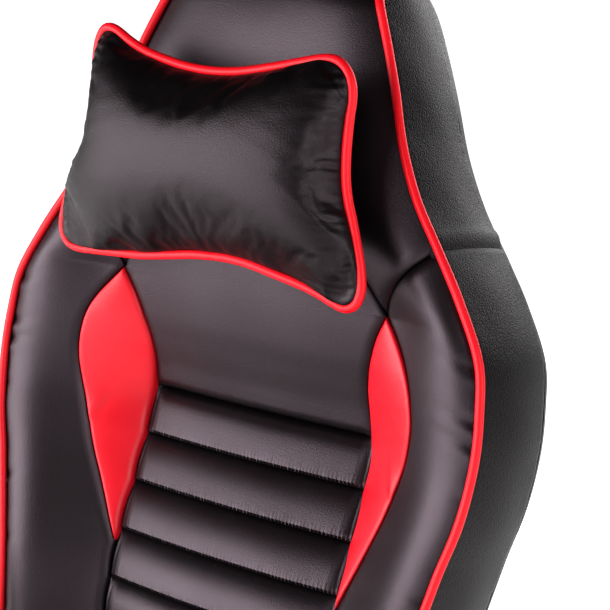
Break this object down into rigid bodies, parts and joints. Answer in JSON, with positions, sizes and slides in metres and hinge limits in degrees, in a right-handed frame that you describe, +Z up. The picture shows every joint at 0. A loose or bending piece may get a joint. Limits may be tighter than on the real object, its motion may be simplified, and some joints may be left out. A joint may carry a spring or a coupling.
{
  "type": "gaming chair",
  "caption": "Gaming chair: reclining bucket backrest with head pillow, bolstered seat, height-adjustable arms, gas column and caster base.",
  "frame": {"origin": "on the floor under the swivel axis", "axes": "+Z up, the sitter faces -Y, +X to the sitter's left"},
  "size_m": [0.674, 0.7646, 1.282],
  "materials": {
    "base_plastic": "fine-textured black nylon",
    "steel": "bright machined steel",
    "black_steel": "black powder coat",
    "black_plastic": "moulded black plastic",
    "arm_pad_rubber": "soft black foamed polyurethane",
    "red_plastic": "moulded red plastic",
    "plywood": "plain plywood",
    "black_leather": "smooth black faux leather with a satin sheen",
    "grained_leather": "pebbled black faux leather",
    "red_leather": "smooth bright red faux leather",
    "red_piping": "bright red faux leather round a cord",
    "webbing": "black elastic webbing",
    "caster_plastic": "moulded black nylon",
    "caster_wheel": "red wheel with a soft tread"
  },
  "bodies": {
    "base": {"star_base": "base_plastic", "hub_ring": "steel", "caster_stems": "steel", "column_tube": "black_steel", "column_bush": "black_plastic", "cover_lower": "black_plastic"},
    "piston": {"piston_rod": "steel", "thrust_bearing": "steel"},
    "cover": {"cover_middle": "black_plastic"},
    "mechanism": {"gas_cylinder": "steel", "cover_upper": "black_plastic", "mechanism_housing": "black_steel", "tilt_pin": "steel", "tilt_spring": "steel"},
    "knob": {"tension_knob": "black_plastic"},
    "lift_lever": {"height_lever": "black_plastic"},
    "valve": {"valve_button": "steel"},
    "seat": {"mechanism_plate": "black_steel", "seat_board": "plywood", "seat_bolts": "steel", "seat_pad": "black_leather", "seat_inserts": "red_leather", "seat_bolster_left": "black_leather", "seat_bolster_right": "black_leather", "seat_piping": "red_piping", "arm_bracket_left": "black_steel", "arm_bracket_right": "black_steel", "recliner_bracket_left": "black_steel", "recliner_bracket_right": "black_steel", "recliner_cover_left": "black_plastic", "recliner_cover_right": "black_plastic", "recliner_pins": "steel"},
    "back_lever": {"recline_lever": "black_plastic"},
    "backrest": {"back_frame": "black_steel", "back_webbing": "webbing", "recliner_arms": "black_steel", "back_pad": "black_leather", "back_inserts": "red_leather", "back_bolster_left": "black_leather", "back_bolster_right": "black_leather", "head_pad": "black_leather", "back_cover": "grained_leather", "back_piping": "red_piping"},
    "pillow": {"head_pillow": "black_leather"},
    "arm_left": {"arm_post_left": "black_plastic"},
    "arm_right": {"arm_post_right": "black_plastic"},
    "armrest_left": {"arm_pad_left": "arm_pad_rubber"},
    "armrest_right": {"arm_pad_right": "arm_pad_rubber"},
    "latch_left": {"arm_button_left": "red_plastic"},
    "latch_right": {"arm_button_right": "red_plastic"},
    "caster_1": {"caster_hood_1": "caster_plastic"},
    "wheels_1": {"caster_wheels_1": "caster_wheel"},
    "caster_2": {"caster_hood_2": "caster_plastic"},
    "wheels_2": {"caster_wheels_2": "caster_wheel"},
    "caster_3": {"caster_hood_3": "caster_plastic"},
    "wheels_3": {"caster_wheels_3": "caster_wheel"},
    "caster_4": {"caster_hood_4": "caster_plastic"},
    "wheels_4": {"caster_wheels_4": "caster_wheel"},
    "caster_5": {"caster_hood_5": "caster_plastic"},
    "wheels_5": {"caster_wheels_5": "caster_wheel"}
  },
  "joints": [
    {"name": "seat_swivel", "type": "hinge", "parent": "base", "child": "piston", "pos_m": [0, 0, 0.06], "axis": [0, 0, 1], "continuous": true},
    {"name": "seat_height", "type": "slide", "parent": "piston", "child": "mechanism", "axis": [0, 0, 1], "range_m": [0, 0.08]},
    {"name": "cover_slide", "type": "slide", "parent": "base", "child": "cover", "axis": [0, 0, 1], "range_m": [0, 0.04]},
    {"name": "tilt", "type": "hinge", "parent": "mechanism", "child": "seat", "pos_m": [0, -0.06, 0.34], "axis": [-1, 0, 0], "range_deg": [0, 10], "stiffness_Nm_per_rad": 220, "springref_deg": -20.05},
    {"name": "tension_knob_turn", "type": "hinge", "parent": "mechanism", "child": "knob", "pos_m": [0, -0.085, 0.28], "axis": [0, 0, 1], "continuous": true},
    {"name": "height_lever_pull", "type": "hinge", "parent": "mechanism", "child": "lift_lever", "pos_m": [-0.045, 0, 0.3455], "axis": [0, 1, 0], "range_deg": [0, 4], "stiffness_Nm_per_rad": 4, "springref_deg": -5.73},
    {"name": "valve_press", "type": "slide", "parent": "mechanism", "child": "valve", "axis": [0, 0, -1], "range_m": [0, 0.0032]},
    {"name": "recline", "type": "hinge", "parent": "seat", "child": "backrest", "pos_m": [0, 0.235, 0.425], "axis": [-1, 0, 0], "range_deg": [-6, 52]},
    {"name": "recline_lever_pull", "type": "hinge", "parent": "seat", "child": "back_lever", "pos_m": [0, 0.235, 0.425], "axis": [-1, 0, 0], "range_deg": [0, 25], "stiffness_Nm_per_rad": 1.5, "springref_deg": -11.46},
    {"name": "pillow_slide", "type": "slide", "parent": "backrest", "child": "pillow", "axis": [0, 0.225, 0.9744], "range_m": [-0.04, 0.04]},
    {"name": "arm_height_left", "type": "slide", "parent": "seat", "child": "arm_left", "axis": [0, 0, 1], "range_m": [0, 0.07]},
    {"name": "arm_swivel_left", "type": "hinge", "parent": "arm_left", "child": "armrest_left", "pos_m": [0.291, 0.052, 0.645], "axis": [0, 0, 1], "range_deg": [-15, 15]},
    {"name": "arm_button_left", "type": "slide", "parent": "arm_left", "child": "latch_left", "axis": [-1, 0, 0], "range_m": [0, 0.004], "stiffness_N_per_m": 400, "springref_m": -0.002},
    {"name": "arm_height_right", "type": "slide", "parent": "seat", "child": "arm_right", "axis": [0, 0, 1], "range_m": [0, 0.07]},
    {"name": "arm_swivel_right", "type": "hinge", "parent": "arm_right", "child": "armrest_right", "pos_m": [-0.291, 0.052, 0.645], "axis": [0, 0, 1], "range_deg": [-15, 15]},
    {"name": "arm_button_right", "type": "slide", "parent": "arm_right", "child": "latch_right", "axis": [1, 0, 0], "range_m": [0, 0.004], "stiffness_N_per_m": 400, "springref_m": -0.002},
    {"name": "caster_swivel_1", "type": "hinge", "parent": "base", "child": "caster_1", "pos_m": [0, -0.32, 0.06], "axis": [0, 0, 1], "continuous": true},
    {"name": "wheel_roll_1", "type": "hinge", "parent": "caster_1", "child": "wheels_1", "pos_m": [0, -0.296, 0.03], "axis": [1, 0, 0], "continuous": true},
    {"name": "caster_swivel_2", "type": "hinge", "parent": "base", "child": "caster_2", "pos_m": [0.30434, -0.09889, 0.06], "axis": [0, 0, 1], "continuous": true},
    {"name": "wheel_roll_2", "type": "hinge", "parent": "caster_2", "child": "wheels_2", "pos_m": [0.30434, -0.07488, 0.03], "axis": [1, 0, 0], "continuous": true},
    {"name": "caster_swivel_3", "type": "hinge", "parent": "base", "child": "caster_3", "pos_m": [0.18809, 0.25888, 0.06], "axis": [0, 0, 1], "continuous": true},
    {"name": "wheel_roll_3", "type": "hinge", "parent": "caster_3", "child": "wheels_3", "pos_m": [0.18809, 0.28288, 0.03], "axis": [1, 0, 0], "continuous": true},
    {"name": "caster_swivel_4", "type": "hinge", "parent": "base", "child": "caster_4", "pos_m": [-0.18809, 0.25888, 0.06], "axis": [0, 0, 1], "continuous": true},
    {"name": "wheel_roll_4", "type": "hinge", "parent": "caster_4", "child": "wheels_4", "pos_m": [-0.18809, 0.28288, 0.03], "axis": [1, 0, 0], "continuous": true},
    {"name": "caster_swivel_5", "type": "hinge", "parent": "base", "child": "caster_5", "pos_m": [-0.30434, -0.09889, 0.06], "axis": [0, 0, 1], "continuous": true},
    {"name": "wheel_roll_5", "type": "hinge", "parent": "caster_5", "child": "wheels_5", "pos_m": [-0.30434, -0.07488, 0.03], "axis": [1, 0, 0], "continuous": true}
  ],
  "couplings": [
    {"joint": "cover_slide", "follows": "seat_height", "ratio": 0.5},
    {"joint": "valve_press", "follows": "height_lever_pull", "m_per_rad": 0.045}
  ]
}
